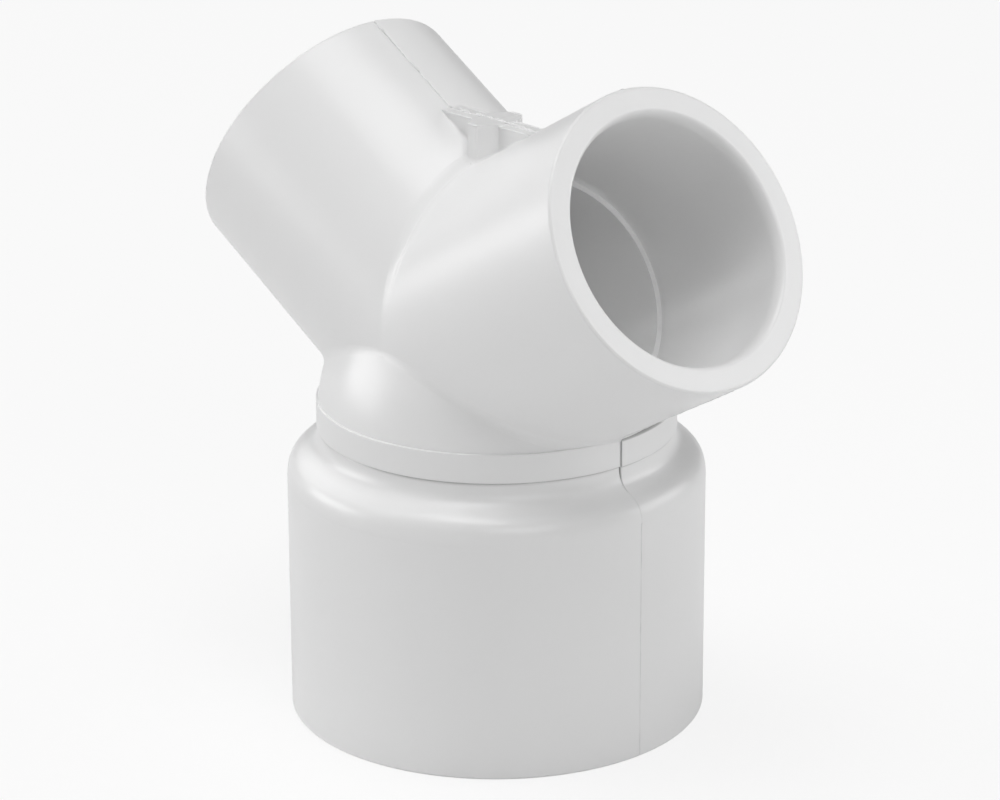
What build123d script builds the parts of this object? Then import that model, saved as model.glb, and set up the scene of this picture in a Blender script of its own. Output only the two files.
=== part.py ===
"""Moulded pipe wye: one large socket below, two smaller sockets branching from a domed body.

Millimetres, +Z up. The origin is the centre of the lower socket's mouth, on which the fitting stands.
The three pipe axes meet in one point and lie in the XZ plane, which is also the mould's parting plane.
"""
import os
from math import cos, hypot, radians, sin, tan

from build123d import *

# Lower socket for 48.3 mm pipe, with its lead-in and pipe stop
base_bore_radius = 24.16
base_socket_depth = 34.9
base_lead_in_width = 0.95
base_lead_in_depth = 1.5
base_wall = 4.45
base_stop_width = 3.76

# Shoulder that slopes in to the neck, and the ring round the neck
neck_wall = 3.75
neck_rise = 5.6
shoulder_height = 7.0
shoulder_round = 4.0
shoulder_slope = 25.0
ring_proud = 0.30
ring_height = 4.0

# Domed body between the ring and the branches
dome_sink = 2.8
dome_cover = 0.50
dome_blend = 2.0
passage_end_radius = 13.0

# Two branches for 33.4 mm pipe, with their lead-ins and pipe stops
branch_angle = 60.0
branch_rise = 12.4
branch_stop_distance = 15.1
branch_bore_radius = 16.71
branch_socket_depth = 25.3
branch_lead_in_width = 0.75
branch_lead_in_depth = 1.4
branch_wall = 3.79
branch_stop_width = 0.81
crotch_round = 4.0

# Stiffener in the crotch: a web in the parting plane, crossed by a tapered rib
web_thickness = 3.4
web_height = 5.1
web_foot_depth = 2.8
web_overlap = 2.0
rib_reach = 4.0
rib_root_width = 5.2
rib_end_width = 2.0
rib_rise = 0.2

# Broken outer edges of the mouths
rim_bevel = 0.45

# Radii that follow from the sizes above
base_outer_radius = base_bore_radius + base_wall
base_passage_radius = base_bore_radius - base_stop_width
neck_radius = base_passage_radius + neck_wall
ring_radius = neck_radius + ring_proud
branch_outer_radius = branch_bore_radius + branch_wall
branch_passage_radius = branch_bore_radius - branch_stop_width
dome_radius = max(neck_radius, hypot(branch_outer_radius + dome_cover, branch_rise))

# Heights and lengths that follow from them, from the mouth upwards
ring_bottom = base_socket_depth + neck_rise
ring_top = ring_bottom + ring_height
wall_top = ring_bottom - shoulder_height
round_end_radius = base_outer_radius - shoulder_round * (1 - sin(radians(shoulder_slope)))
round_end_height = wall_top + shoulder_round * cos(radians(shoulder_slope))
neck_foot = round_end_height + (round_end_radius - neck_radius) * tan(radians(shoulder_slope))
dome_centre_height = ring_top - dome_sink
branch_meeting_height = dome_centre_height + branch_rise
branch_length = branch_stop_distance + branch_socket_depth
slope = radians(branch_angle)
meeting = Vector(0, 0, branch_meeting_height)
crotch_height = branch_meeting_height + branch_outer_radius / sin(slope)
web_top = crotch_height + web_height
web_half_span = web_height * tan(slope)


def branch_direction(side):
    """Unit vector from the meeting point out of one branch's mouth; side is +1 or -1 along X."""
    return Vector(side * sin(slope), 0, cos(slope))


def branch_section(side):
    """Plane through one branch's axis: local X points to the branch's underside, local Y out of its mouth."""
    underside = (side * cos(slope), 0, -sin(slope))
    return Plane(origin=meeting, x_dir=underside, z_dir=(0, -side, 0))


def branch_end(side):
    """Plane across one branch at the meeting point, facing its mouth, with local X to the underside."""
    underside = (side * cos(slope), 0, -sin(slope))
    return Plane(origin=meeting, x_dir=underside, z_dir=branch_direction(side))


def in_plane_between_branches(edge):
    """True where an edge lies in the plane x = 0, above the meeting point."""
    box = edge.bounding_box()
    flat = max(abs(box.min.X), abs(box.max.X)) < 0.01
    return flat and box.max.Z > branch_meeting_height + branch_outer_radius / 2


# Upper body: the dome, with both branch tubes run into it
with BuildPart() as upper:
    with BuildSketch(Plane.XZ):
        with BuildLine():
            Polyline((0, ring_bottom), (dome_radius, ring_bottom), (dome_radius, dome_centre_height))
            RadiusArc(
                (dome_radius, dome_centre_height),
                (0, dome_centre_height + dome_radius),
                -dome_radius,
            )
            Line((0, dome_centre_height + dome_radius), (0, ring_bottom))
        make_face()
    revolve(axis=Axis.Z)
    for side in (1, -1):
        with BuildSketch(branch_end(side)):
            Circle(branch_outer_radius)
        extrude(amount=branch_length)
    # Soft valley where the two tubes meet
    valley = [edge for edge in upper.edges() if in_plane_between_branches(edge)]
    fillet(valley, radius=crotch_round)
    # Soft foot where each tube leaves the dome
    feet = [
        edge
        for edge in upper.edges()
        if edge.geom_type not in (GeomType.CIRCLE, GeomType.LINE) and abs(edge.center().X) > crotch_round
    ]
    fillet(feet, radius=dome_blend)

# Lower body: socket wall, shoulder, neck and ring
with BuildPart() as lower:
    with BuildSketch(Plane.XZ):
        with BuildLine():
            Polyline((0, 0), (base_outer_radius, 0), (base_outer_radius, wall_top))
            RadiusArc((base_outer_radius, wall_top), (round_end_radius, round_end_height), -shoulder_round)
            Polyline(
                (round_end_radius, round_end_height),
                (neck_radius, neck_foot),
                (neck_radius, ring_bottom),
                (ring_radius, ring_bottom),
                (ring_radius, ring_top),
                (0, ring_top),
                (0, 0),
            )
        make_face()
    revolve(axis=Axis.Z)

# Flow space: three sockets with their lead-ins, and the passages that join them
with BuildPart() as hollow:
    with BuildSketch(Plane.XZ):
        with BuildLine():
            Polyline(
                (0, 0),
                (base_bore_radius + base_lead_in_width, 0),
                (base_bore_radius, base_lead_in_depth),
                (base_bore_radius, base_socket_depth),
                (base_passage_radius, base_socket_depth),
                (base_passage_radius, dome_centre_height),
                (passage_end_radius, branch_meeting_height),
                (0, branch_meeting_height),
                close=True,
            )
        make_face()
    revolve(axis=Axis.Z)
    for side in (1, -1):
        with BuildSketch(branch_section(side)):
            with BuildLine():
                Polyline(
                    (0, 0),
                    (branch_passage_radius, 0),
                    (branch_passage_radius, branch_stop_distance),
                    (branch_bore_radius, branch_stop_distance),
                    (branch_bore_radius, branch_length - branch_lead_in_depth),
                    (branch_bore_radius + branch_lead_in_width, branch_length),
                    (0, branch_length),
                    close=True,
                )
            make_face()
        revolve(axis=Axis(meeting, branch_direction(side)))

# Web between the branches, in the parting plane, and the rib across it
with BuildPart() as stiffener:
    with BuildSketch(Plane.XZ):
        with BuildLine():
            Polyline(
                (0, crotch_height - web_foot_depth),
                (web_half_span + web_overlap, web_top),
                (-web_half_span - web_overlap, web_top),
                close=True,
            )
        make_face()
    extrude(amount=web_thickness / 2, both=True)
    # The rib is wide at the web and narrow at its ends
    with BuildSketch(Plane.XY.offset(crotch_height - web_foot_depth)):
        for side in (1, -1):
            with BuildLine():
                Polyline(
                    (-rib_root_width / 2, 0),
                    (-rib_root_width / 2, side * web_thickness / 2),
                    (-rib_end_width / 2, side * rib_reach),
                    (rib_end_width / 2, side * rib_reach),
                    (rib_root_width / 2, side * web_thickness / 2),
                    (rib_root_width / 2, 0),
                    close=True,
                )
            make_face()
    extrude(amount=web_foot_depth + web_height + rib_rise)

# The whole fitting is one moulding
with BuildPart() as wye_body:
    add(upper.part)
    add(lower.part)
    add(stiffener.part)
    # Broken outer edges of the three mouths
    rims = [
        edge
        for edge in wye_body.edges().filter_by(GeomType.CIRCLE)
        if abs(edge.radius - branch_outer_radius) < 0.001 or abs(edge.center().Z) < 0.001
    ]
    chamfer(rims, length=rim_bevel)
    add(hollow.part, mode=Mode.SUBTRACT)

wye_body.part.label = "wye_body"
os.makedirs("parts", exist_ok=True)
export_step(wye_body.part, "parts/wye_body.step")
print("volume cm3", round(wye_body.part.volume / 1000, 2), "solids", len(wye_body.part.solids()))
print("broken rims", len(rims), "box", wye_body.part.bounding_box())
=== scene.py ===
"""White moulded pipe wye on a pale floor, in soft studio light, seen from its front right.

The solid body comes from the frame. The pieces made here lie on it: the rolled edges of the three
mouths, the flowing shoulder with the ring above it in its two mould halves, the parting line's ridges,
and the small coves and beads of the stiffener between the branches.
Sizes are millimetres, and a mesh gets them in metres. Places in a material are metres.
"""
from math import cos, radians, sin, sqrt, tan

import bpy
import numpy as np
from mathutils import Matrix, Vector


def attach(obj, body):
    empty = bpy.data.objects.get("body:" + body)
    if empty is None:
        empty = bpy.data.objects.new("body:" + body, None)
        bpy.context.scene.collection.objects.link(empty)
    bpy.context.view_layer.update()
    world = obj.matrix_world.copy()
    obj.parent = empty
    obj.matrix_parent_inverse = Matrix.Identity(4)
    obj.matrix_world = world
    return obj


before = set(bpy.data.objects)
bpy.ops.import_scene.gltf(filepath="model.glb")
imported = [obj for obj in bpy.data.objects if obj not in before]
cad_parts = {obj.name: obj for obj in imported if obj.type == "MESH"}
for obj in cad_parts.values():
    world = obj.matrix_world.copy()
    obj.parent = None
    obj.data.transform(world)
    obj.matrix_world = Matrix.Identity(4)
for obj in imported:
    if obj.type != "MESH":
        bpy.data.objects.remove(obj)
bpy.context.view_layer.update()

MM = 0.001

# Camera: the photograph's angle, distance and lens
CAMERA_TARGET = Vector((-0.00006, 0.00074, 0.0433))
CAMERA_AZIMUTH = 47.97
CAMERA_ELEVATION = 19.45
CAMERA_ROLL = -0.24
CAMERA_DISTANCE = 0.5359
CAMERA_LENS = 141.66
SENSOR_WIDTH = 36.0

# Floor and backdrop
FLOOR_RADIUS = 3.0
FLOOR_CORNERS = 64
FLOOR_COLOUR = 0.87
FLOOR_ROUGHNESS = 0.9
FLOOR_SHOWN_WHITE = 0.80
BACKDROP_WHITE = 1.0

# Lamps: azimuth from the camera's, height above the floor (degrees), width, height (metres), power (watts)
LAMP_DISTANCE = 1.6
LAMPS = {
    "left_lamp": (-100.0, 11.5, 1.0, 0.6, 7.9),
    "left_high_lamp": (-80.0, 55.0, 1.2, 1.0, 2.4),
    "right_lamp": (100.0, 14.0, 1.2, 0.7, 7.2),
    "front_lamp": (15.0, 27.0, 0.9, 0.7, 4.9),
    "front_right_strip": (48.0, 36.0, 1.2, 0.3, 1.6),
    "top_lamp": (0.0, 82.0, 1.1, 1.1, 14.0),
    "back_lamp": (-140.0, 30.0, 1.2, 1.0, 5.0),
}
ROOM_LIGHT = 0.03

# Plastic: its colour in light and darker places at random, the shade painted into crevices, its gloss, and
# how it bends light
PLASTIC_LIGHT = 0.87
PLASTIC_DARK = 0.85
# Colour of the shade painted into grooves, seams and the feet of ridges
PAINTED_SHADE_COLOUR = 0.34
PLASTIC_ROUGHNESS = (0.29, 0.32)
PLASTIC_IOR = 1.53

# Marks of moulding: depth of the relief in metres, strength of each mark, and the scale of its noise
RELIEF_DEPTH = 0.00003
MARK_STRENGTH = {"Pebble": 0.22, "Wave": 1.5, "Ripple": 0.9, "Crease": 1.2}
PEBBLE_SCALE = 1500.0
WAVE_SCALE = 130.0
MOTTLE_SCALE = 45.0
RIPPLE_SCALE = 720.0
RIPPLE_STRETCH = (0.45, 0.45, 1.3)
RIPPLE_DISTORTION = 1.2
# The ripples come in patches: scale of the patches' noise, its values where a patch starts and is full,
# and the strength between patches
PATCH_SCALE = 110.0
PATCH_EDGE = (0.42, 0.58)
PATCH_REST = 0.15
# Ripples' span in height, the valley crease's span in X, and the height over which that crease sets in
DOME_SPAN = (0.0445, 0.0535)
DOME_EDGE = 0.0025
VALLEY_CREASE_SPAN = (0.00030, 0.00075)
VALLEY_CREASE_EDGE = 0.0002
VALLEY_CREASE_START = (0.059, 0.066)

# The fitting's own sizes that the pieces lie on
WALL_RADIUS = 28.61
WALL_TOP = 33.2
RING_BOTTOM = 40.5
RING_TOP = 44.5
RING_RADIUS = 24.46
BRANCH_ANGLE = 60.0
BRANCH_RADIUS = 20.5
BRANCH_LENGTH = 40.4
MEETING_HEIGHT = 54.1
VALLEY_ROUND = 4.0
RIM_BEVEL = 0.45
BASE_BORE = 24.16
BRANCH_BORE = 16.71

# Sections round a whole mouth, points on a quarter circle of a section, and the spread of uneven rows
MOUTH_SECTIONS = 240
QUARTER_POINTS = 9
WANDER_SPREAD = 0.3

# Inner edge of a mouth: width and depth of its round, and how far it stands proud of bore and face
LEAD_IN_WIDTH = 0.80
LEAD_IN_DEPTH = 2.0
LEAD_IN_POINTS = 13
LEAD_IN_SKIN = 0.05
LEAD_IN_FACE_SKIN = 0.008
# Its points before and after that round, as a radius beyond the bore's and a depth from the mouth's face
LEAD_IN_START = ((1.1, 7.0), (1.1, 0.5), (1.04, 0.02), (0.96, 0.004), (0.88, -0.006))
LEAD_IN_RUN_OUT = ((-0.045, 3.2), (-0.03, 4.4), (-0.01, 5.6), (0.01, 6.6), (0.03, 7.4), (0.3, 7.9))
# How much wider the base's is, and its least height above the floor
LEAD_IN_BASE_SCALE = 1.25
LEAD_IN_BASE_LIFT = 0.003

# Shoulder: its foot on the wall, and a cubic curve from there to under the ring, as four control points
SHOULDER_FOOT = ((28.56, 32.5), (28.59, 32.8))
SHOULDER_CURVE = ((28.62, 33.2), (28.62, 38.5), (24.31, 35.77), (24.31, 40.3))
SHOULDER_POINTS = 48

# Ring: how far its skin stands proud of the body's ring, the roll of its edges, and the groove under it
RING_SKIN = 0.05
RING_EDGE_ROLL = 0.12
RING_EDGE_POINTS = 6
RING_GROOVE = ((24.24, RING_BOTTOM - 0.12), (24.20, RING_BOTTOM - 0.03))
# Corners that close the section of shoulder, neck and ring inside the body
BAND_INSIDE = ((24.1, RING_TOP + 0.05), (23.2, RING_TOP - 0.3), (23.2, 37.4), (27.4, 32.4))
BAND_SECTIONS = 200

# Mould halves: how far the back one stands out, the width and depth of their rolled edges, and their
# distance from the parting plane
HALF_MISMATCH = 0.20
HALF_EDGE_ROLL = 0.30
HALF_EDGE_DEPTH = 0.16
HALF_EDGE_SHOULDER_SHARE = 0.25
HALF_GAP = 0.01
# Heights where the rolled edges, the mismatch and the ring's full depth of edge set in, each with its rise
EDGE_START = (33.3, 3.0)
MISMATCH_START = (35.5, 4.0)
FULL_EDGE_START = (38.6, 1.4)

# Crease where the shoulder turns hollow: height, depth and breadth, and its middle and reach in radians
CREASE_HEIGHT = 37.0
CREASE_DEPTH = 0.05
CREASE_BREADTH = 0.13
CREASE_MIDDLE = 0.15
CREASE_REACH = 0.45

# Shade painted on the mould halves: in the groove, in the seam between them, and on the lip of the back
# one's step
GROOVE_PAINTED_SHADE = 0.85
GROOVE_DEEPEST = RING_BOTTOM - 0.06
GROOVE_BREADTH = 0.1
SEAM_BREADTH = 0.12
SEAM_PAINTED_SHADE_SHOULDER = 0.1
SEAM_PAINTED_SHADE_RING = 0.85
LIP_START = (RING_TOP - 0.45, 0.2)

# Parting line's ridges: width and height, and how deep their feet and their inner point lie
RIDGE_SECTIONS = 120
RIDGE_WIDTH = 0.36
RIDGE_HEIGHT = 0.10
RIDGE_FOOT = 0.03
RIDGE_INSIDE = 0.3
# On the wall: width, height at both ends, distance from the base, run past the wall's top, and the shade
# painted at its feet
WALL_RIDGE_WIDTH = 0.24
WALL_RIDGE_HEIGHTS = (0.04, 0.05)
WALL_RIDGE_START = 0.4
WALL_RIDGE_RUN = 0.5
WALL_RIDGE_PAINTED_SHADE = 0.45
# On the branches: starts, counted from the meeting point, distance from the mouth, and the shade painted at
# their feet
UNDER_RIDGE_START = 17.2
UNDER_RIDGE_HEIGHTS = (RIDGE_HEIGHT, RIDGE_HEIGHT)
TOP_RIDGE_START = 21.6
TOP_RIDGE_HEIGHTS = (1.6 * RIDGE_HEIGHT, 2.4 * RIDGE_HEIGHT)
BRANCH_RIDGE_END_GAP = 0.35
BRANCH_RIDGE_PAINTED_SHADE = 0.1
# On the web: the right one's start, both ones' reach, heights, lift at the start, and the shade painted at
# their feet
WEB_RIDGE_START = 0.2
WEB_RIDGE_REACH = 9.2
WEB_RIDGE_HEIGHTS = (3.2 * RIDGE_HEIGHT, 1.6 * RIDGE_HEIGHT)
WEB_RIDGE_LIFT = 0.1 * RIDGE_HEIGHT
WEB_RIDGE_PAINTED_SHADE = 0.15

# Stiffener between the branches: the web, and the rib across it
WEB_HALF = 1.7
WEB_TOP = 82.87
RIB_REACH = 4.0
RIB_ROOT_HALF = 2.6
RIB_END_HALF = 1.0
RIB_TOP = 83.07
# Coves at its foot: radius, run on past it and depth there, the point inside, steps on each edge, the
# length over which an end tapers and to what share, and the distance from the web's end
COVE_RADIUS = 0.45
COVE_RUN = 0.2
COVE_SKIN = 0.02
COVE_INSIDE = (-0.3, -0.4)
COVE_STEPS = 14
COVE_TAPER = 1.5
COVE_LEAST_SIZE = 0.05
COVE_END_GAP = 0.3
# Beads on its top edges: radius, distance in from the edge, how far the web's run under the rib, and how
# far the rib's stop short of its corners
BEAD_RADIUS = 0.17
BEAD_INSET = 0.10
BEAD_SECTIONS = 60
BEAD_POINTS = 12
BEAD_OVERLAP = 0.2
BEAD_END_GAP = 0.05

SLOPE = radians(BRANCH_ANGLE)


def back_vector(azimuth, elevation):
    """Unit vector from the object to a camera at that azimuth and elevation, in degrees."""
    turn = radians(azimuth)
    lift = radians(elevation)
    return Vector((sin(turn) * cos(lift), -cos(turn) * cos(lift), sin(lift)))


def make_camera():
    """The photograph's camera, turned by its small roll about its own axis."""
    data = bpy.data.cameras.new("camera")
    data.lens = CAMERA_LENS
    data.sensor_width = SENSOR_WIDTH
    camera = bpy.data.objects.new("camera", data)
    bpy.context.collection.objects.link(camera)
    back = back_vector(CAMERA_AZIMUTH, CAMERA_ELEVATION)
    aim = back.to_track_quat("Z", "Y").to_matrix().to_4x4()
    roll = Matrix.Rotation(radians(CAMERA_ROLL), 4, "Z")
    camera.matrix_world = Matrix.Translation(CAMERA_TARGET + CAMERA_DISTANCE * back) @ aim @ roll
    bpy.context.scene.camera = camera


def make_lamp(name, azimuth, lift, width, height, power):
    """A rectangular soft lamp that faces the object from that azimuth, counted from the camera's."""
    data = bpy.data.lights.new(name, "AREA")
    data.shape = "RECTANGLE"
    data.size = width
    data.size_y = height
    data.energy = power
    lamp = bpy.data.objects.new(name, data)
    bpy.context.collection.objects.link(lamp)
    back = back_vector(CAMERA_AZIMUTH + azimuth, lift)
    lamp.location = CAMERA_TARGET + LAMP_DISTANCE * back
    lamp.rotation_euler = back.to_track_quat("Z", "Y").to_euler()


def linked(tree, kind, inputs, **settings):
    """Adds a node to a tree, sets its settings, and links or sets its inputs by name or number."""
    node = tree.nodes.new(kind)
    for key, value in settings.items():
        setattr(node, key, value)
    for key, value in inputs.items():
        if isinstance(value, bpy.types.NodeSocket):
            tree.links.new(value, node.inputs[key])
        else:
            node.inputs[key].default_value = value
    return node


def product(tree, first, second):
    """Adds a node that multiplies two values, and gives its output."""
    return linked(tree, "ShaderNodeMath", {0: first, 1: second}, operation="MULTIPLY").outputs[0]


def grey(value):
    """A neutral colour."""
    return (value, value, value, 1.0)


def make_world():
    """White to the camera, and an even grey light on the object."""
    world = bpy.data.worlds.new("studio")
    bpy.context.scene.world = world
    world.use_nodes = True
    tree = world.node_tree
    tree.nodes.clear()
    room = linked(tree, "ShaderNodeBackground", {"Color": grey(1.0), "Strength": ROOM_LIGHT})
    white = linked(tree, "ShaderNodeBackground", {"Color": grey(1.0), "Strength": BACKDROP_WHITE})
    rays = linked(tree, "ShaderNodeLightPath", {})
    shown = linked(
        tree, "ShaderNodeMixShader",
        {0: rays.outputs["Is Camera Ray"], 1: room.outputs[0], 2: white.outputs[0]},
    )
    linked(tree, "ShaderNodeOutputWorld", {"Surface": shown.outputs[0]})


def make_floor():
    """A flat pale disc under the object.

    The camera sees it mostly as white, with the soft shadow left on it.
    """
    turn = np.linspace(0.0, 2.0 * np.pi, FLOOR_CORNERS, endpoint=False)
    ring = FLOOR_RADIUS * np.stack([np.cos(turn), np.sin(turn), np.zeros(FLOOR_CORNERS)], axis=1)
    mesh = bpy.data.meshes.new("floor")
    mesh.from_pydata(ring.tolist(), [], [list(range(FLOOR_CORNERS))])
    floor = bpy.data.objects.new("floor", mesh)
    bpy.context.collection.objects.link(floor)
    material = bpy.data.materials.new("floor_white")
    material.use_nodes = True
    tree = material.node_tree
    shader = tree.nodes["Principled BSDF"]
    shader.inputs["Base Color"].default_value = grey(FLOOR_COLOUR)
    shader.inputs["Roughness"].default_value = FLOOR_ROUGHNESS
    shader.inputs["Specular IOR Level"].default_value = 0.0
    white = linked(tree, "ShaderNodeEmission", {"Strength": 1.0})
    rays = linked(tree, "ShaderNodeLightPath", {})
    share = product(tree, rays.outputs["Is Camera Ray"], FLOOR_SHOWN_WHITE)
    shown = linked(tree, "ShaderNodeMixShader", {0: share, 1: shader.outputs["BSDF"], 2: white.outputs[0]})
    tree.links.new(shown.outputs[0], tree.nodes["Material Output"].inputs["Surface"])
    mesh.materials.append(material)


def window(tree, value, low, high, soft):
    """Math nodes for a soft window: 0 outside low and high, 1 inside, with slopes of the width soft."""
    start = linked(tree, "ShaderNodeMapRange", {0: value, 1: low, 2: low + soft, 3: 0.0, 4: 1.0})
    stop = linked(tree, "ShaderNodeMapRange", {0: value, 1: high - soft, 2: high, 3: 1.0, 4: 0.0})
    return product(tree, start.outputs[0], stop.outputs[0])


def make_mould_marks():
    """Node group for the marks of moulding, from Object coordinates in metres.

    Height is a fine pebbling, a slow waviness, flow ripples round the dome above the ring, and the
    fine crease in the valley between the branches. Mottle is a slow change between 0 and 1.
    """
    group = bpy.data.node_groups.new("mould_marks", "ShaderNodeTree")
    for name in MARK_STRENGTH:
        group.interface.new_socket(name, in_out="INPUT", socket_type="NodeSocketFloat")
    for name in ("Height", "Mottle"):
        group.interface.new_socket(name, in_out="OUTPUT", socket_type="NodeSocketFloat")
    given = group.nodes.new("NodeGroupInput")
    place = linked(group, "ShaderNodeTexCoord", {}).outputs["Object"]
    split = linked(group, "ShaderNodeSeparateXYZ", {0: place})
    pebble = linked(group, "ShaderNodeTexNoise", {"Vector": place, "Scale": PEBBLE_SCALE, "Detail": 2.0})
    wave = linked(group, "ShaderNodeTexNoise", {"Vector": place, "Scale": WAVE_SCALE, "Detail": 1.0})
    mottle = linked(group, "ShaderNodeTexNoise", {"Vector": place, "Scale": MOTTLE_SCALE, "Detail": 1.0})
    flat = linked(group, "ShaderNodeMapping", {"Vector": place, "Scale": RIPPLE_STRETCH})
    ripple = linked(
        group, "ShaderNodeTexNoise",
        {"Vector": flat.outputs[0], "Scale": RIPPLE_SCALE, "Detail": 1.0, "Distortion": RIPPLE_DISTORTION},
    )
    patch = linked(group, "ShaderNodeTexNoise", {"Vector": place, "Scale": PATCH_SCALE, "Detail": 0.0})
    spots = linked(
        group, "ShaderNodeMapRange",
        {0: patch.outputs[0], 1: PATCH_EDGE[0], 2: PATCH_EDGE[1], 3: PATCH_REST, 4: 1.0},
    )
    dome = window(group, split.outputs["Z"], *DOME_SPAN, DOME_EDGE)
    line = window(group, split.outputs["X"], *VALLEY_CREASE_SPAN, VALLEY_CREASE_EDGE)
    high = linked(
        group, "ShaderNodeMapRange",
        {0: split.outputs["Z"], 1: VALLEY_CREASE_START[0], 2: VALLEY_CREASE_START[1], 3: 0.0, 4: 1.0},
    )
    marks = {
        "Pebble": pebble.outputs[0],
        "Wave": wave.outputs[0],
        "Ripple": product(group, ripple.outputs[0], product(group, dome, spots.outputs[0])),
        "Crease": product(group, line, high.outputs[0]),
    }
    total = 0.0
    for name, value in marks.items():
        part = product(group, value, given.outputs[name])
        total = linked(group, "ShaderNodeMath", {0: total, 1: part}, operation="ADD").outputs[0]
    linked(group, "NodeGroupOutput", {"Height": total, "Mottle": mottle.outputs[0]})
    return group


def make_plastic(marks):
    """Glossy white moulded plastic, its colour darkened as painted shade where the painted shade attribute
    says so.
    """
    material = bpy.data.materials.new("white_plastic")
    material.use_nodes = True
    tree = material.node_tree
    shader = tree.nodes["Principled BSDF"]
    shader.inputs["IOR"].default_value = PLASTIC_IOR
    surface = linked(tree, "ShaderNodeGroup", MARK_STRENGTH, node_tree=marks)
    mottled = linked(
        tree, "ShaderNodeMix",
        {0: surface.outputs["Mottle"], 6: grey(PLASTIC_DARK), 7: grey(PLASTIC_LIGHT)}, data_type="RGBA",
    )
    # Shade painted into the colour, as much as each point's attribute gives
    painted_shade = linked(tree, "ShaderNodeAttribute", {}, attribute_name="painted_shade")
    colour = linked(
        tree, "ShaderNodeMix",
        {0: painted_shade.outputs["Fac"], 6: mottled.outputs[2], 7: grey(PAINTED_SHADE_COLOUR)}, data_type="RGBA",
    )
    gloss = linked(
        tree, "ShaderNodeMapRange",
        {0: surface.outputs["Mottle"], 1: 0.0, 2: 1.0, 3: PLASTIC_ROUGHNESS[0], 4: PLASTIC_ROUGHNESS[1]},
    )
    relief = linked(tree, "ShaderNodeBump", {"Height": surface.outputs["Height"], "Distance": RELIEF_DEPTH})
    tree.links.new(colour.outputs[2], shader.inputs["Base Color"])
    tree.links.new(gloss.outputs[0], shader.inputs["Roughness"])
    tree.links.new(relief.outputs[0], shader.inputs["Normal"])
    return material


def swept_volume(corners):
    """Six times the signed volume between the origin and loops of corners.

    corners has the shape (loops, corners, 3). Each loop is taken as a fan of triangles from its first
    corner, and a triangle (a, b, c) gives a . (b x c). The sum over a closed skin is positive where
    its loops run anticlockwise as seen from outside.
    """
    return float((corners[:, :1] * np.cross(corners[:, 1:-1], corners[:, 2:])).sum())


def sweep(name, sections, closed, material, painted_shade=None):
    """A skin through a row of cross sections.

    sections has the shape (count, points, 3) in millimetres, and each section is a closed loop of points.
    Neighbouring sections are joined by quads. With closed set, the last section joins the first,
    and otherwise both ends get a flat cap. Where the volume inside comes out negative, all faces are
    turned round, so that they face outwards. The painted shade, of the shape (count, points), is 1
    where the shade of a crevice is painted fully into the colour.
    """
    count, points = sections.shape[:2]
    index = np.arange(count * points).reshape(count, points)
    along = index if closed else index[:-1]
    ahead = np.roll(index, -1, axis=0) if closed else index[1:]
    quads = np.stack([along, np.roll(along, -1, axis=1), np.roll(ahead, -1, axis=1), ahead], axis=-1)
    quads = quads.reshape(-1, 4)
    caps = index[:0] if closed else np.stack([index[0][::-1], index[-1]])
    place = sections.reshape(-1, 3)
    if swept_volume(place[quads]) + swept_volume(place[caps]) < 0.0:
        quads = quads[:, ::-1]
        caps = caps[:, ::-1]
    faces = quads.tolist() + caps.tolist()
    mesh = bpy.data.meshes.new(name)
    mesh.from_pydata((place * MM).tolist(), [], faces)
    mesh.update()
    mesh.validate()
    mesh.polygons.foreach_set("use_smooth", np.ones(len(mesh.polygons), dtype=bool))
    if painted_shade is not None:
        shade = mesh.attributes.new("painted_shade", "FLOAT", "POINT")
        shade.data.foreach_set("value", np.ascontiguousarray(painted_shade, dtype=np.float32).ravel())
    mesh.materials.append(material)
    piece = bpy.data.objects.new(name, mesh)
    bpy.context.collection.objects.link(piece)
    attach(piece, "root")


def turned(profile, turn, extra=0.0):
    """Cross sections of a body of revolution about Z: at each angle, (r cos a, r sin a, z).

    profile is an array of (radius, height), turn an array of angles, and extra a radius added
    to each point, of the shape (angles, points) or one number.
    """
    radius = profile[None, :, 0] + extra
    height = np.broadcast_to(profile[None, :, 1], radius.shape)
    if radius.shape[0] == 1:
        radius = np.repeat(radius, len(turn), axis=0)
        height = np.repeat(height, len(turn), axis=0)
    return np.stack([radius * np.cos(turn)[:, None], radius * np.sin(turn)[:, None], height], axis=-1)


def arc(centre, radius, start, end, count):
    """Points on a circle in a section's plane, from one angle to another in degrees."""
    turn = np.radians(np.linspace(start, end, count))
    return np.stack([centre[0] + radius * np.cos(turn), centre[1] + radius * np.sin(turn)], axis=1)


def cubic(points, count):
    """A cubic curve of four control points: the sum of each point times its Bernstein weight."""
    part = np.linspace(0.0, 1.0, count)[:, None]
    rest = 1.0 - part
    first, second, third, fourth = (np.array(point)[None, :] for point in points)
    return rest**3 * first + 3.0 * rest**2 * part * second + 3.0 * rest * part**2 * third + part**3 * fourth


def straight(start, end, count):
    """Points on a straight line: start times (1 - part) plus end times part."""
    part = np.linspace(0.0, 1.0, count)[:, None]
    return np.array(start)[None, :] * (1.0 - part) + np.array(end)[None, :] * part


def setting_in(value, start, rise):
    """0 below start, 1 from start + rise on, and even between them."""
    return np.clip((value - start) / rise, 0.0, 1.0)


def hump(value, middle, breadth):
    """A bell curve: e to the power of minus ((value - middle) / breadth) squared."""
    return np.exp(-((value - middle) / breadth) ** 2)


def wander(count, seed, coarseness):
    """A smooth uneven row of numbers about 1.

    Random numbers of the normal law are summed over a window, divided by the root of its summed
    squares, which keeps their spread at 1, and WANDER_SPREAD of that is added to 1.
    """
    values = np.random.default_rng(seed).normal(size=count + 4 * coarseness)
    window_shape = np.hanning(2 * coarseness + 1)
    smooth = np.convolve(values, window_shape / sqrt(float((window_shape**2).sum())), mode="same")
    return 1.0 + WANDER_SPREAD * smooth[2 * coarseness:2 * coarseness + count]


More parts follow.
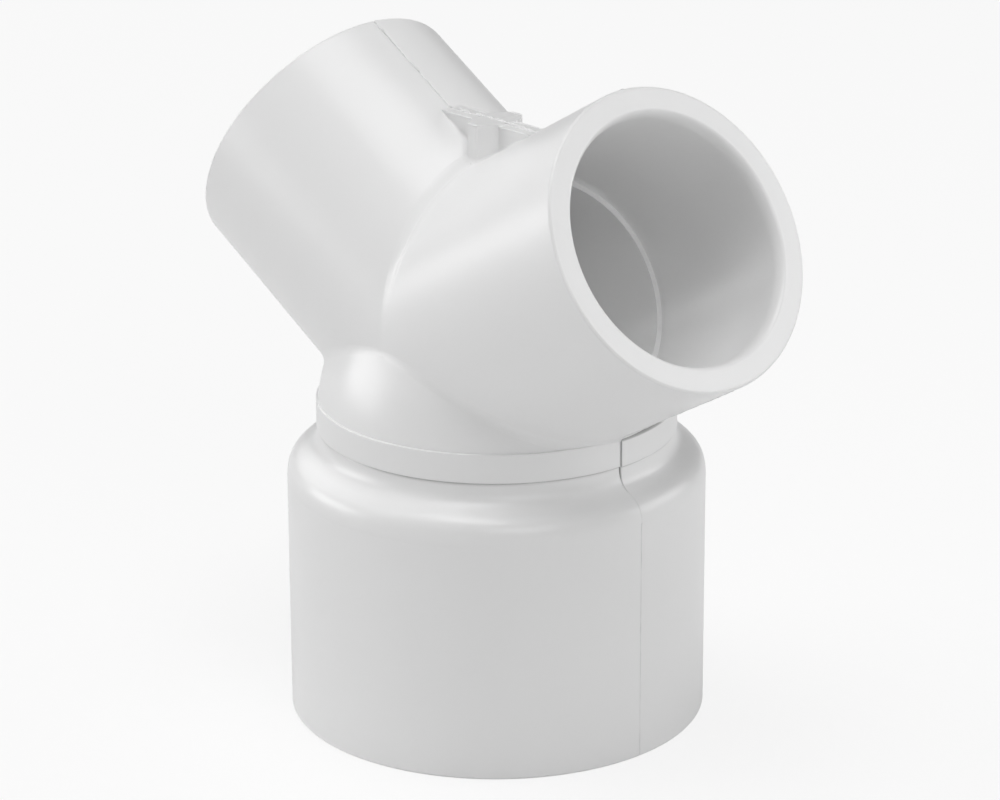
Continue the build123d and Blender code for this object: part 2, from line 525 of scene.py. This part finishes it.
def on_branch(side, points):
    """Turns points given about a branch's own axis into place.

    The first number runs in the XZ plane towards the branch's underside, the second along Y, and the
    third from the meeting point out of the mouth. side is +1 or -1 along X.
    """
    under = np.array([side * cos(SLOPE), 0.0, -sin(SLOPE)])
    across = np.array([0.0, float(side), 0.0])
    out = np.array([side * sin(SLOPE), 0.0, cos(SLOPE)])
    place = np.array([0.0, 0.0, MEETING_HEIGHT])
    return place + points[..., 0:1] * under + points[..., 1:2] * across + points[..., 2:3] * out


def make_rims(material):
    """The rolled outer edge of each mouth.

    Each is a ring whose section is a quarter circle that meets the wall and the mouth's face,
    closed by a corner inside the body.
    """
    turn = np.linspace(0.0, 2.0 * np.pi, MOUTH_SECTIONS, endpoint=False)
    roll = RIM_BEVEL
    base = np.concatenate([
        arc((WALL_RADIUS - roll, roll), roll, -90.0, 0.0, QUARTER_POINTS),
        [(WALL_RADIUS - 2.0 * roll, 2.0 * roll)],
    ])
    sweep("rim_base", turned(base, turn), True, material)
    mouth = np.concatenate([
        arc((BRANCH_RADIUS - roll, BRANCH_LENGTH - roll), roll, 0.0, 90.0, QUARTER_POINTS),
        [(BRANCH_RADIUS - 2.0 * roll, BRANCH_LENGTH - 2.0 * roll)],
    ])
    for side, name in ((1, "rim_right"), (-1, "rim_left")):
        sweep(name, on_branch(side, turned(mouth, turn)), True, material)


def make_lead_ins(material):
    """The soft inner edge of each mouth, from its face over the lead-in to the bore.

    Each is a ring whose section is given from the mouth's face inwards, as a radius beyond the bore's
    and a depth: a quarter of an ellipse from the face to the bore, and a long run out that sinks slowly
    under the bore's surface. It is closed inside the wall.
    """
    turn = np.linspace(0.0, 2.0 * np.pi, MOUTH_SECTIONS, endpoint=False)
    part = np.radians(np.linspace(0.0, 90.0, LEAD_IN_POINTS))
    section = np.concatenate([
        LEAD_IN_START,
        np.stack([
            LEAD_IN_WIDTH - (LEAD_IN_WIDTH + LEAD_IN_SKIN) * np.sin(part),
            LEAD_IN_DEPTH * (1.0 - np.cos(part)) - LEAD_IN_FACE_SKIN * np.cos(part),
        ], axis=1),
        LEAD_IN_RUN_OUT,
    ])[::-1]
    base_depth = np.maximum(section[:, 1], LEAD_IN_BASE_LIFT)
    base = np.stack([BASE_BORE + LEAD_IN_BASE_SCALE * section[:, 0], base_depth], axis=1)
    sweep("lead_in_base", turned(base, turn), True, material)
    mouth = np.stack([BRANCH_BORE + section[:, 0], BRANCH_LENGTH - section[:, 1]], axis=1)
    for side, name in ((1, "lead_in_right"), (-1, "lead_in_left")):
        sweep(name, on_branch(side, turned(mouth, turn)), True, material)


def band_profile():
    """Section of the skin over shoulder, neck and ring, as radius and height.

    It is the shoulder's cubic curve, a fine groove under the ring, and the ring with both its edges
    rolled, closed inside the body.
    """
    ring = RING_RADIUS + RING_SKIN
    roll = RING_EDGE_ROLL
    return np.concatenate([
        SHOULDER_FOOT,
        cubic(SHOULDER_CURVE, SHOULDER_POINTS),
        RING_GROOVE,
        arc((ring - roll, RING_BOTTOM + roll), roll, -90.0, 0.0, RING_EDGE_POINTS),
        [(ring, RING_BOTTOM + 0.4), (ring, RING_TOP - 0.5), (ring, RING_TOP - 0.3)],
        arc((ring - roll, RING_TOP - roll), roll, 0.0, 90.0, RING_EDGE_POINTS),
        BAND_INSIDE,
    ])


def band_painted_shade(height, turn, near, full_edge, stepped):
    """Painted shade of each point of a mould half, of the shape (turns, heights): the most of three marks.

    The shade painted in the groove under the ring is a bell curve in height, with a wander along it. The
    shade painted in the seam fades evenly with near, the distance to the half's end, and lies only about
    +X and -X. Where stepped is set, shade is painted on the ring's top edge about +X.
    """
    uneven = 0.55 + 0.45 * np.clip(wander(len(turn), 3, 6), 0.0, 1.6) / 1.6
    groove = GROOVE_PAINTED_SHADE * hump(height, GROOVE_DEEPEST, GROOVE_BREADTH)[None, :] * uneven[:, None]
    about_x = np.clip(2.0 * np.abs(np.cos(turn)) - 1.0, 0.0, 1.0)
    seam_row = np.clip(1.0 - near / SEAM_BREADTH, 0.0, 1.0) * about_x
    seam = seam_row[:, None] * (SEAM_PAINTED_SHADE_SHOULDER + SEAM_PAINTED_SHADE_RING * full_edge)[None, :]
    lip_row = np.clip(2.4 - 4.0 * np.abs(turn), 0.0, 1.0) * stepped
    lip = setting_in(height, *LIP_START)[None, :] * lip_row[:, None]
    return np.maximum(np.maximum(groove, seam), lip)


def half_band(name, start, end, mismatch, material):
    """One mould half's skin over shoulder, neck and ring.

    Round the axis, the radius grows by mismatch times the square of the cosine of the angle from +X,
    less on the shoulder, and both ends roll down by a quarter circle. Where the shoulder turns hollow,
    a shallow crease runs for some way to both sides of +X. The points inside the body stay in place.
    """
    profile = band_profile()
    height = profile[:, 1]
    width = (end - start) * RING_RADIUS
    fine = HALF_EDGE_ROLL * (1.0 - np.cos(np.radians(np.linspace(0.0, 90.0, QUARTER_POINTS))))
    coarse = np.linspace(HALF_EDGE_ROLL, width - HALF_EDGE_ROLL, BAND_SECTIONS)[1:-1]
    distance = np.concatenate([fine, coarse, width - fine[::-1]])
    turn = start + distance / RING_RADIUS
    near = np.minimum(distance, width - distance)
    full_edge = setting_in(height, *FULL_EDGE_START)
    edge_share = HALF_EDGE_SHOULDER_SHARE + (1.0 - HALF_EDGE_SHOULDER_SHARE) * full_edge
    part = np.clip(1.0 - near / HALF_EDGE_ROLL, 0.0, 1.0)
    fall = HALF_EDGE_DEPTH * (1.0 - np.sqrt(1.0 - part**2))[:, None] * edge_share[None, :]
    growth = mismatch * np.clip(np.cos(turn), 0.0, 1.0) ** 2
    step = growth[:, None] * setting_in(height, *MISMATCH_START)[None, :]
    crease_row = CREASE_DEPTH * hump(turn, CREASE_MIDDLE, CREASE_REACH)
    crease = crease_row[:, None] * hump(height, CREASE_HEIGHT, CREASE_BREADTH)[None, :]
    extra = step - fall * setting_in(height, *EDGE_START)[None, :] - crease
    extra[:, -len(BAND_INSIDE):] = 0.0
    painted_shade = band_painted_shade(height, turn, near, full_edge, mismatch > 0.0)
    sweep(name, turned(profile, turn, extra), False, material, painted_shade)


def make_bands(material):
    """Shoulder, neck and ring in the mould's two halves, which meet at the parting plane."""
    gap = HALF_GAP / RING_RADIUS
    half_band("band_front", -np.pi + gap, -gap, 0.0, material)
    half_band("band_back", gap, np.pi - gap, HALF_MISMATCH, material)


def ridge(name, start, end, outward, heights, width, seed, dark, material):
    """A low ridge on a straight line of the parting plane.

    start, end and outward are vectors of (x, z). The section is half an ellipse of the given width,
    whose height runs from the first to the second of heights with a slight wander, and it is closed
    by a point inside the body. dark is how much shade is painted at its feet.
    """
    part = np.linspace(0.0, 1.0, RIDGE_SECTIONS)
    line = straight(start, end, RIDGE_SECTIONS)
    height = (heights[0] + (heights[1] - heights[0]) * part) * wander(RIDGE_SECTIONS, seed, 5)
    turn = np.radians(np.linspace(0.0, 180.0, 11))
    inside = np.full((RIDGE_SECTIONS, 1), -RIDGE_INSIDE)
    lift = np.concatenate([height[:, None] * np.sin(turn)[None, :], inside], axis=1)
    lift[:, [0, len(turn) - 1]] -= RIDGE_FOOT
    across = np.concatenate([0.5 * width * np.cos(turn), [0.0]])
    x = line[:, 0:1] + lift * outward[0]
    z = line[:, 1:2] + lift * outward[1]
    y = np.broadcast_to(across[None, :], x.shape)
    feet = np.concatenate([1.0 - np.sin(turn), [1.0]])
    painted_shade = dark * feet[None, :] * np.clip(wander(RIDGE_SECTIONS, seed + 1, 4), 0.0, 1.5)[:, None]
    sweep(name, np.stack([x, y, z], axis=-1), False, material, painted_shade)


def make_parting_line(material):
    """The ridge that the two mould halves leave along the parting plane, on wall, branches and web."""
    end = BRANCH_LENGTH - BRANCH_RIDGE_END_GAP
    for side, label, seed, web_start in ((1, "right", 11, WEB_RIDGE_START), (-1, "left", 23, 0.0)):
        wall = side * WALL_RADIUS
        ridge(
            "parting_wall_" + label, (wall, WALL_RIDGE_START), (wall, WALL_TOP + WALL_RIDGE_RUN),
            (side, 0.0), WALL_RIDGE_HEIGHTS, WALL_RIDGE_WIDTH, seed, WALL_RIDGE_PAINTED_SHADE, material,
        )
        out = np.array([side * sin(SLOPE), cos(SLOPE)])
        under = np.array([side * cos(SLOPE), -sin(SLOPE)])
        meeting = np.array([0.0, MEETING_HEIGHT])
        for part, start, up, heights, seed_step in (
            ("under", UNDER_RIDGE_START, under, UNDER_RIDGE_HEIGHTS, 7),
            ("top", TOP_RIDGE_START, -under, TOP_RIDGE_HEIGHTS, 14),
        ):
            foot = meeting + BRANCH_RADIUS * up
            ridge(
                "parting_" + part + "_" + label, foot + start * out, foot + end * out, up,
                heights, RIDGE_WIDTH, seed + seed_step, BRANCH_RIDGE_PAINTED_SHADE, material,
            )
        ridge(
            "parting_web_" + label, (web_start, WEB_TOP + WEB_RIDGE_LIFT),
            (side * WEB_RIDGE_REACH, WEB_TOP), (0.0, 1.0),
            WEB_RIDGE_HEIGHTS, RIDGE_WIDTH, seed + 17, WEB_RIDGE_PAINTED_SHADE, material,
        )


def branch_top(x, y):
    """Height of the two tubes' upper surface over a point of the plan, near the plane between them.

    On a tube it is the meeting point's height, plus the root of radius squared less y squared over the
    sine of the branch angle, plus |x| over its tangent. The valley's round fills it in near x = 0.
    """
    crown = MEETING_HEIGHT + np.sqrt(BRANCH_RADIUS**2 - y**2) / sin(SLOPE)
    rise = 1.0 / tan(SLOPE)
    tilt = np.arctan(rise)
    reach = VALLEY_ROUND * np.sin(tilt)
    sloped = crown + np.abs(x) * rise
    rounded = crown + VALLEY_ROUND / np.cos(tilt) - np.sqrt(np.maximum(VALLEY_ROUND**2 - x**2, 0.0))
    return np.where(np.abs(x) < reach, rounded, sloped)


def cove(name, plan, material):
    """A cove along the foot of the stiffener.

    plan is the row of corners of the stiffener's outline, walked with the body on the left. At each
    point the section runs from the tube's surface, one cove radius out, up a quarter circle to the
    stiffener's face, with both ends run on under the surface, and is closed by a point inside. It
    shrinks to almost nothing at both ends of the row. Sections at a corner lie in its bisecting plane.
    """
    corners = np.array(plan)
    edges = np.diff(corners, axis=0)
    normals = np.stack([edges[:, 1], -edges[:, 0]], axis=1) / np.linalg.norm(edges, axis=1)[:, None]
    before = np.concatenate([normals[:1], normals])
    after = np.concatenate([normals, normals[-1:]])
    mitre = (before + after) / (1.0 + (before * after).sum(axis=1))[:, None]
    part = np.linspace(0.0, 1.0, COVE_STEPS, endpoint=False)[None, :, None]
    line = (corners[:-1, None, :] * (1.0 - part) + corners[1:, None, :] * part).reshape(-1, 2)
    lean = (mitre[:-1, None, :] * (1.0 - part) + mitre[1:, None, :] * part).reshape(-1, 2)
    line = np.concatenate([line, corners[-1:]])
    lean = np.concatenate([lean, mitre[-1:]])
    turn = np.radians(np.linspace(0.0, 90.0, QUARTER_POINTS))
    section = np.concatenate([
        [(COVE_RADIUS + COVE_RUN, -COVE_SKIN)],
        COVE_RADIUS * (1.0 - np.stack([np.sin(turn), np.cos(turn)], axis=1)),
        [(-COVE_SKIN, COVE_RADIUS + COVE_RUN), COVE_INSIDE],
    ])
    walked = np.concatenate([[0.0], np.cumsum(np.linalg.norm(np.diff(line, axis=0), axis=1))])
    to_end = np.minimum(walked, walked[-1] - walked)
    size = np.clip(to_end / COVE_TAPER, COVE_LEAST_SIZE, 1.0)[:, None]
    x = line[:, 0:1] + lean[:, 0:1] * size * section[None, :, 0]
    y = line[:, 1:2] + lean[:, 1:2] * size * section[None, :, 0]
    z = branch_top(x, y) + size * section[None, :, 1]
    sweep(name, np.stack([x, y, z], axis=-1), False, material)


def bead(name, start, end, seed, material):
    """A rounded bead along a straight edge: circles whose radius wanders a little."""
    line = straight(start, end, BEAD_SECTIONS)
    forward = np.array(end) - np.array(start)
    forward = forward / np.linalg.norm(forward)
    side = np.cross(forward, np.array([0.0, 0.0, 1.0]))
    side /= np.linalg.norm(side)
    up = np.cross(side, forward)
    turn = np.linspace(0.0, 2.0 * np.pi, BEAD_POINTS, endpoint=False)
    size = BEAD_RADIUS * (0.75 + 0.25 * wander(BEAD_SECTIONS, seed, 3))
    circle = np.cos(turn)[None, :, None] * side + np.sin(turn)[None, :, None] * up
    sweep(name, line[:, None, :] + size[:, None, None] * circle, False, material)


def make_stiffener(material):
    """Coves at the feet of the web and its rib, and beads on their top edges."""
    foot = (WEB_TOP - float(branch_top(np.array(0.0), np.array(WEB_HALF)))) * tan(SLOPE)
    reach = foot - COVE_END_GAP
    high = WEB_TOP - BEAD_INSET
    rib_high = RIB_TOP - BEAD_INSET
    rib_end = RIB_END_HALF - BEAD_END_GAP
    for face, label in ((-1, "front"), (1, "back")):
        outline = [
            (reach, WEB_HALF), (RIB_ROOT_HALF, WEB_HALF), (RIB_END_HALF, RIB_REACH),
            (-RIB_END_HALF, RIB_REACH), (-RIB_ROOT_HALF, WEB_HALF), (-reach, WEB_HALF),
        ]
        plan = [(x, y * face) for x, y in outline]
        cove("cove_" + label, plan if face > 0 else plan[::-1], material)
        edge = face * (WEB_HALF - BEAD_INSET)
        for side, end_label, seed in ((1, "_right", 5), (-1, "_left", 9)):
            start = (side * (RIB_ROOT_HALF - BEAD_OVERLAP), edge, high)
            bead("bead_" + label + end_label, start, (side * foot, edge, high), seed + face, material)
        edge = face * (RIB_REACH - 0.6 * BEAD_INSET)
        start = (-rib_end, edge, rib_high)
        bead("bead_rib_" + label, start, (rib_end, edge, rib_high), 31 + face, material)


bpy.context.scene.view_settings.view_transform = "Standard"
make_world()
make_floor()
make_camera()
for lamp_name, lamp_values in LAMPS.items():
    make_lamp(lamp_name, *lamp_values)

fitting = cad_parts["wye_body"]
plastic = make_plastic(make_mould_marks())
for slot in fitting.material_slots:
    slot.material = plastic
make_rims(plastic)
make_lead_ins(plastic)
make_bands(plastic)
make_parting_line(plastic)
make_stiffener(plastic)
